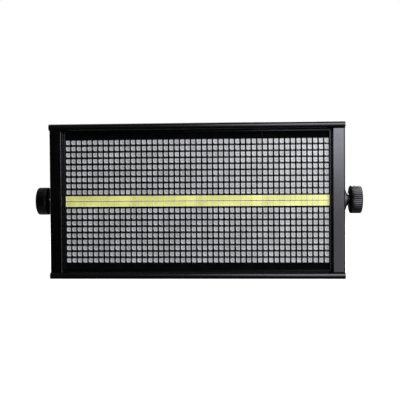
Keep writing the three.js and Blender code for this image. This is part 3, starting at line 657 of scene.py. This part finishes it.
for number in range(BOARDS):
    x = (number - (BOARDS - 1) / 2) * BOARD_PITCH
    name = f"led_board_{number + 1}"
    board = led_board_mesh(x, number * COLUMNS)
    piece(f"{name}_dressed", board, "housing", [name], (x, BOARD_FACE, 0))


# Knobs, washers and friction discs

def knob_mesh():
    shape = Shape()

    def ribbed(angle, r):
        if r < KNOB_RADIUS - KNOB_EDGE / 2:
            return r
        return r - RIB_DEPTH * (0.5 - 0.5 * math.cos(KNOB_RIBS * angle)) ** RIB_SHARPNESS

    edge, share = KNOB_EDGE, CORNER_SHARE
    inner, outer = KNOB_INSIDE, KNOB_OUTSIDE
    dish = outer - KNOB_DISH_DEPTH
    boss = [
        (BOSS_START, BOLT_HOLE), (BOSS_START, BOSS_RADIUS - 0.5),
        (BOSS_START + 0.15, BOSS_RADIUS - 0.15), (BOSS_START + 0.5, BOSS_RADIUS),
        (inner - 1.2, BOSS_RADIUS),
    ]
    back = [
        (inner - 0.4, BOSS_RADIUS + 0.4), (inner, BOSS_RADIUS + 1.2), (inner, KNOB_RADIUS - edge),
        (inner + share * edge, KNOB_RADIUS - share * edge), (inner + edge, KNOB_RADIUS),
    ]
    grip = [
        (outer - edge, KNOB_RADIUS), (outer - share * edge, KNOB_RADIUS - share * edge),
        (outer, KNOB_RADIUS - edge), (outer, KNOB_DISH + 0.4), (outer - 0.12, KNOB_DISH + 0.1),
        (dish, KNOB_DISH - 0.5), (dish, KNOB_CAP_FOOT), (dish + 0.25, KNOB_CAP),
        (dish + 0.4, KNOB_CAP_FLAT), (outer - 0.25, AXIS),
    ]
    finishes = [LOOKS["knob_plastic"], KNOB_BOSS, KNOB_BACK]
    on_grip, on_boss, on_back = range(len(finishes))
    looks = [on_boss] * (len(boss) - 1) + [on_back] * len(back) + [on_grip] * len(grip)
    shape.turned(boss + back + grip, KNOB_RIBS * RIB_STEPS, along_x, looks, ribbed)
    return shape.mesh("knob", finishes, smooth=40)


def flat_ring_mesh(name, x, outer, slot):
    """A washer between two places along the axis."""
    shape = Shape()
    low, high = x
    inner, edge = BOLT_HOLE, WASHER_EDGE
    profile = [
        (low, inner), (low, outer - edge), (low + edge, outer), (high - edge, outer),
        (high, outer - edge), (high, inner), (low, inner),
    ]
    shape.turned(profile, TURN_STEPS, along_x)
    return shape.mesh(name, [LOOKS[slot]], smooth=50)


# Kind, body (a knob is its own), mesh and look
SIDE_PARTS = (
    ("knob", None, knob_mesh(), "knob_plastic"),
    ("pivot_washer", "yoke",
     flat_ring_mesh("washer", WASHER_SPAN, WASHER_RADIUS, "screw_steel"), "screw_steel"),
    ("friction_disc", "housing",
     flat_ring_mesh("disc", DISC_SPAN, DISC_RADIUS, "disc_rubber"), "disc_rubber"),
)
for word, turn in (("left", Matrix.Rotation(math.pi, 3, "Z")), ("right", None)):
    for kind, body, mesh, slot in SIDE_PARTS:
        name = f"{kind}_{word}"
        piece(f"{name}_dressed", mesh, body or name, [name], (0, PIVOT, 0), turn)


# Screws

def screw_mesh(name, material):
    """A pan head with a cross recess; its underside is at zero and its axis along Y."""
    shape = Shape()

    def cross(share, y):
        """As many points as a ring of the head, on the edge of the cross."""
        reach, slot = SCREW_CROSS * share, SCREW_SLOT * share
        half = (reach + slot) / 2
        quarter = [(reach, 0), (reach, slot), (half, slot),
                   (slot, slot), (slot, half), (slot, reach)]
        points = []
        for c, s in ((1, 0), (0, 1), (-1, 0), (0, -1)):
            points += [(u * c - v * s, y, u * s + v * c) for u, v in quarter]
        return points

    rings = [round_ring(SCREW_HEAD, 0, SCREW_STEPS)]
    for inwards, below in SCREW_DOME:
        rings.append(round_ring(SCREW_HEAD - inwards, SCREW_HEIGHT - below, SCREW_STEPS))
    rings += [cross(1.0, SCREW_HEIGHT), cross(CROSS_TAPER, SCREW_HEIGHT - SCREW_DEPTH)]
    shape.rings(rings, first=0, last=0)
    return shape.mesh(name, [material], smooth=40)


dark_screw = screw_mesh("dark_screw", LOOKS["screw_steel"])
bright_screw = screw_mesh("bright_screw", BRIGHT_SCREW)
for node_name, cad in frame["nodes"].items():
    if "_screw_" not in node_name:
        continue
    low, high = (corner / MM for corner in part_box(node_name))
    middle = (low + high) / 2 - Vector((0, FRONT, MIDDLE))
    if node_name.startswith("cover"):
        place, turn = (middle.x, COVER_FACE, middle.z), None
    else:
        side = 1 if "right" in node_name else -1
        seat = (high.x if side > 0 else -low.x) - SCREW_HEIGHT
        place = (side * seat, middle.y, middle.z)
        turn = Matrix.Rotation(-side * math.pi / 2, 3, "Z")
    piece(f"{node_name}_dressed", dark_screw, "housing", [node_name], place, turn)


# Rear connectors: bezels and flange screws

for name, (x, inner, outer, slot) in CONNECTORS.items():
    shape = Shape()
    profile = [
        (BEZEL_SEAT, inner), (BEZEL_SEAT, outer), (BEZEL_HEIGHT - 0.3, outer - 0.05),
        (BEZEL_HEIGHT, outer - 0.4), (BEZEL_HEIGHT, inner + 0.3), (BEZEL_HEIGHT - 0.25, inner),
        (BEZEL_SEAT, inner),
    ]
    shape.turned(profile, TURN_STEPS, along_y)
    bezel = shape.mesh(f"{name}_bezel", [LOOKS[slot]])
    piece(f"{name}_bezel", bezel, "housing", (), (x, CONNECTOR_FACE, CONNECTOR_UP))
    for number, sign in enumerate((-1, 1)):
        place = (x + sign * FLANGE_SCREW[0], CONNECTOR_FACE, CONNECTOR_UP + sign * FLANGE_SCREW[1])
        piece(f"{name}_screw_{number + 1}", bright_screw, "housing", (), place,
              scale=FLANGE_SCREW_SCALE)


# Keys

key_shape = Shape()
key_profile = [
    (KEY_FOOT, AXIS), (KEY_FOOT, KEY_RADIUS), (KEY_TOP - 0.7, KEY_RADIUS),
    (KEY_TOP - 0.25, KEY_RADIUS - 0.15), (KEY_TOP, KEY_RADIUS - 0.7),
    (KEY_TOP - 0.2, KEY_RADIUS - 1.4), (KEY_TOP - 0.3, AXIS),
]
key_shape.turned(key_profile, KEY_STEPS, along_y)
key_mesh = key_shape.mesh("key", [LOOKS["key_plastic"]])
for number, name in enumerate(KEYS):
    x = (number - (len(KEYS) - 1) / 2) * KEY_PITCH
    piece(f"{name}_dressed", key_mesh, name, [name], (x, 0, KEY_UP))


# Display window with four unlit digits

def window_mesh():
    shape = Shape()
    glass, digit = range(2)
    rear = WINDOW_SPAN[1]
    shape.box(span(WINDOW[0]), WINDOW_SPAN, span(WINDOW[1]), glass)
    half_w, half_h = DIGIT_WIDTH / 2, DIGIT_HEIGHT / 2
    bars = [(0, half_h, 0), (0, 0, 0), (0, -half_h, 0)]
    uprights = [(x, z, 1) for x in (-half_w, half_w) for z in (-half_h / 2, half_h / 2)]
    for number in range(DIGITS):
        across = (number - (DIGITS - 1) / 2) * DIGIT_PITCH
        for x, z, upright in bars + uprights:
            length = (half_h if upright else DIGIT_WIDTH) - SEGMENT_GAP * SEGMENT
            tip = length / 2 + SEGMENT / 2
            corners = [(-tip, 0), (-length / 2, -SEGMENT / 2), (length / 2, -SEGMENT / 2),
                       (tip, 0), (length / 2, SEGMENT / 2), (-length / 2, SEGMENT / 2)]
            if upright:
                corners = [(-v, u) for u, v in corners]
            ring = [(across + x + u, z + v) for u, v in corners]
            depths = (rear - DIGIT_DEPTH, rear + DIGIT_RAISE)
            shape.rings([[(u, y, v) for u, v in ring] for y in depths], digit, last=digit)
    return shape.mesh("display_window", [LOOKS["display_glass"], DIGIT_GREY], smooth=0)


piece("display_window_dressed", window_mesh(), "housing", ["display_window"],
      (0, 0, WINDOW_UP))


# Fans: wire guards with eyelets, and rotors with twisted blades

def wire(shape, centres, closed):
    """A guard's round wire along points; every ring stands square to the wire."""
    rings = []
    count = len(centres)
    for i, centre in enumerate(centres):
        before = centres[(i - 1) % count] if closed or i > 0 else centres[i]
        after = centres[(i + 1) % count] if closed or i < count - 1 else centres[i]
        along = (after - before).normalized()
        side = along.cross(Vector((0, 1, 0))).normalized()
        up = side.cross(along)
        rings.append([tuple(centre + GUARD_WIRE * (math.cos(a) * side + math.sin(a) * up))
                      for a in circle_angles(WIRE_STEPS)])
    if closed:
        shape.rings(rings + [rings[0]])
    else:
        shape.rings(rings, first=0, last=0)


def circle_points(x, z, radius, y, steps):
    return [Vector((x + radius * math.cos(a), y, z + radius * math.sin(a)))
            for a in circle_angles(steps)]


def guard_mesh():
    shape = Shape()
    for radius in GUARD_RINGS:
        wire(shape, circle_points(0, 0, radius, GUARD_RING_LIFT, GUARD_RING_STEPS), closed=True)
    end, corner = (GUARD_CORNER - GUARD_EYE) * DIAGONAL, GUARD_CORNER * DIAGONAL
    for sign in (-1, 1):
        spoke = [Vector((-end, 0, -sign * end)), Vector((end, 0, sign * end))]
        wire(shape, spoke, closed=False)
        for way in (-1, 1):
            x, z = way * corner, way * sign * corner
            wire(shape, circle_points(x, z, GUARD_EYE, 0, GUARD_EYE_STEPS), closed=True)
    return shape.mesh("fan_guard", [LOOKS["guard_chrome"]])


def rotor_mesh():
    """Hub with a rounded cup, and blades that flatten towards their tips."""
    shape = Shape()
    rear = ROTOR_FRONT + HUB_DEPTH
    profile = [
        (ROTOR_FRONT, AXIS), (ROTOR_FRONT, HUB_RADIUS - 1.5), (ROTOR_FRONT + 0.4, HUB_RADIUS - 0.4),
        (ROTOR_FRONT + 1.5, HUB_RADIUS), (rear - 0.3, HUB_RADIUS), (rear, HUB_RADIUS - 0.3),
        (rear, AXIS),
    ]
    shape.turned(profile, TURN_STEPS, along_y)
    middle = ROTOR_FRONT + HUB_DEPTH / 2
    for blade in range(BLADES):
        turn = Matrix.Rotation(2 * math.pi * blade / BLADES, 3, "Y")
        rings = []
        for station in range(BLADE_STATIONS + 1):
            share = station / BLADE_STATIONS
            reach = HUB_RADIUS - BLADE_ROOT + share * (BLADE_TIP - HUB_RADIUS + BLADE_ROOT)
            pitch = math.radians(BLADE_PITCH - BLADE_TWIST * share)
            sweep = math.radians(BLADE_SWEEP * share)
            thickness = BLADE_ROOT_SHARE - BLADE_TIP_LOSS * share
            ring = []
            for side in (1, -1):
                for k in range(BLADE_CHORD_STEPS + 1):
                    along = (k / BLADE_CHORD_STEPS - 0.5) * side
                    bow = BLADE_BOW * BLADE_CHORD * (0.25 - along * along)
                    thin = 1 - BLADE_THINNING * along * along
                    off = bow + side * BLADE_THICKNESS * thin * thickness
                    across = along * BLADE_CHORD * math.sin(pitch) * BLADE_ACROSS
                    deep = along * BLADE_CHORD * math.cos(pitch) * BLADE_ALONG
                    u = across + off * math.cos(pitch)
                    y = middle - deep + off * math.sin(pitch)
                    angle = u / reach + sweep
                    point = Vector((reach * math.sin(angle), y, reach * math.cos(angle)))
                    ring.append(tuple(turn @ point))
            rings.append(ring)
        shape.rings(rings, first=0, last=0)
    return shape.mesh("fan_rotor", [LOOKS["black_plastic"]], smooth=50)


guard = guard_mesh()
rotor = rotor_mesh()
for word, side in (("left", -1), ("right", 1)):
    x, corner = side * FAN_ACROSS, GUARD_CORNER * DIAGONAL
    name = f"fan_guard_{word}"
    piece(f"{name}_dressed", guard, "housing", [name], (x, GUARD_Y, FAN_UP))
    name = f"fan_rotor_{word}"
    piece(f"{name}_dressed", rotor, name, [name], (x, 0, FAN_UP))
    for number, (u, v) in enumerate(((-1, -1), (1, -1), (-1, 1), (1, 1))):
        name = f"fan_guard_screw_{word}_{number + 1}"
        place = (x + u * corner, GUARD_Y + GUARD_SCREW_LIFT, FAN_UP + v * corner)
        piece(name, dark_screw, "housing", (), place)


# CAD pieces that stay get rounded edges and their finish

EDGES = {
    "top_panel": 0.25, "bottom_panel": 0.25, "side_panel_left": 0.3, "side_panel_right": 0.3,
    "rear_cover": 0.2, "yoke": 0.4, "safety_eye": 0.35, "power_inlet": 0.35, "power_outlet": 0.35,
    "dmx_input": 0.35, "dmx_output": 0.35, "dmx_latch": 0.3, "fuse_holder": 0.3, "fuse_cap": 0.3,
    "fan_frame_left": 0.4, "fan_frame_right": 0.4, "power_supply": 0.6,
}
# Looks of parts inside the housing; the power supply's dark steel is painted shade
INSIDE = {"power_supply": SHADED_STEEL, "driver_board": LOOKS["circuit_board"]}
BENDS = ("side_panel_left", "side_panel_right")
# Finish of the large outer faces, and the painted shade of the level faces inside
FACES = {
    "top_panel": (MATT_PANEL, SHADED_RECESS), "bottom_panel": (MATT_PANEL, SHADED_RECESS),
    "side_panel_left": (MATT_SIDE, SHADED_RECESS), "side_panel_right": (MATT_SIDE, SHADED_RECESS),
}
for subpart in frame["record"]["subparts"]:
    name = subpart["node"]
    cad = frame["nodes"][name]
    if cad.hide_render:
        continue
    mesh = cad.data
    mesh.materials.clear()
    mesh.materials.append(INSIDE.get(name, LOOKS[subpart["material_slot"]]))
    if name in FACES:
        finish_faces(mesh, *FACES[name])
    normals = mesh.attributes.get("custom_normal")
    if normals:
        mesh.attributes.remove(normals)
    mesh.shade_smooth()
    weld = cad.modifiers.new("weld", "WELD")
    weld.merge_threshold = WELD_METRES
    if name in BENDS:
        round_lip(cad)
    bevel(cad, EDGES.get(name, EDGE_DEFAULT))


# Camera, floor, backdrop and lights

def camera():
    data = bpy.data.cameras.new("camera")
    data.lens = LENS
    data.sensor_width = SENSOR
    data.clip_start, data.clip_end = CLIP_METRES
    made = bpy.data.objects.new("camera", data)
    bpy.context.scene.collection.objects.link(made)
    yaw, pitch, roll = (math.radians(a) for a in CAMERA_TURN)
    flat = math.cos(pitch)
    ahead = Vector((-math.sin(yaw) * flat, math.cos(yaw) * flat, -math.sin(pitch)))
    right = ahead.cross(Vector((0, 0, 1))).normalized()
    up = right.cross(ahead)
    tilted_right = right * math.cos(roll) + up * math.sin(roll)
    tilted_up = -right * math.sin(roll) + up * math.cos(roll)
    turn = Matrix((tilted_right, tilted_up, -ahead)).transposed()
    made.matrix_world = Matrix.Translation(CAMERA_PLACE) @ turn.to_4x4()
    bpy.context.scene.camera = made


def paper(name, make, level, strength, albedo, ior, **size):
    """A glowing white surface that only the camera sees."""
    work = bmesh.new()
    make(work, **size)
    mesh = bpy.data.meshes.new(name)
    work.to_mesh(mesh)
    work.free()
    mesh.materials.append(look(
        f"{name}_paper", (albedo,) * 3, 0.6,
        Emission_Color=(1, 1, 1, 1), Emission_Strength=strength, IOR=ior))
    made = bpy.data.objects.new(name, mesh)
    made.location.z = level
    for ray in ("diffuse", "glossy", "transmission", "shadow", "volume_scatter"):
        setattr(made, f"visible_{ray}", False)
    bpy.context.scene.collection.objects.link(made)


def softbox(name, azimuth, elevation, distance, size, power):
    """A soft light that looks at the housing's front; distance and size are in metres."""
    data = bpy.data.lights.new(name, "AREA")
    data.shape = "RECTANGLE"
    data.size, data.size_y = size
    data.energy = power
    made = bpy.data.objects.new(name, data)
    bpy.context.scene.collection.objects.link(made)
    a, e = math.radians(azimuth), math.radians(elevation)
    back = Vector((math.sin(a) * math.cos(e), -math.cos(a) * math.cos(e), math.sin(e)))
    target = Vector((0, FRONT, MIDDLE)) * MM
    made.location = target + back * distance
    made.rotation_mode = "QUATERNION"
    made.rotation_quaternion = (-back).to_track_quat("-Z", "Y")
    made.visible_camera = False


def studio():
    scene = bpy.context.scene
    paper("floor", bmesh.ops.create_circle, FLOOR_LEVEL, strength=0.93, albedo=0.8, ior=1.3,
          cap_ends=True, segments=96, radius=FLOOR_RADIUS)
    paper("backdrop", bmesh.ops.create_uvsphere, 0.0, strength=1.0, albedo=0.0, ior=1.0,
          u_segments=48, v_segments=24, radius=BACKDROP_RADIUS)

    world = bpy.data.worlds.new("studio")
    scene.world = world
    world.use_nodes = True
    nodes, links = world.node_tree.nodes, world.node_tree.links
    direction = nodes.new("ShaderNodeTexCoord")
    split = nodes.new("ShaderNodeSeparateXYZ")
    ramp = nodes.new("ShaderNodeMapRange")
    ramp.interpolation_type = "SMOOTHSTEP"
    sockets = ("From Min", "From Max", "To Min", "To Max")
    for socket, value in zip(sockets, WORLD_SPAN + WORLD_STRENGTH):
        ramp.inputs[socket].default_value = value
    links.new(direction.outputs["Generated"], split.inputs["Vector"])
    links.new(split.outputs["Y"], ramp.inputs["Value"])
    links.new(ramp.outputs["Result"], nodes["Background"].inputs["Strength"])
    nodes["Background"].inputs["Color"].default_value = (1, 1, 1, 1)
    scene.view_settings.view_transform = "Standard"

    softbox("key", azimuth=27, elevation=26.2, distance=1.1, size=(0.9, 0.94), power=16.5)
    softbox("bounce", azimuth=29, elevation=-13, distance=1.1, size=(0.8, 0.6), power=2.0)
    softbox("rear", azimuth=150, elevation=32, distance=1.2, size=(0.8, 0.8), power=15.0)


camera()
studio()
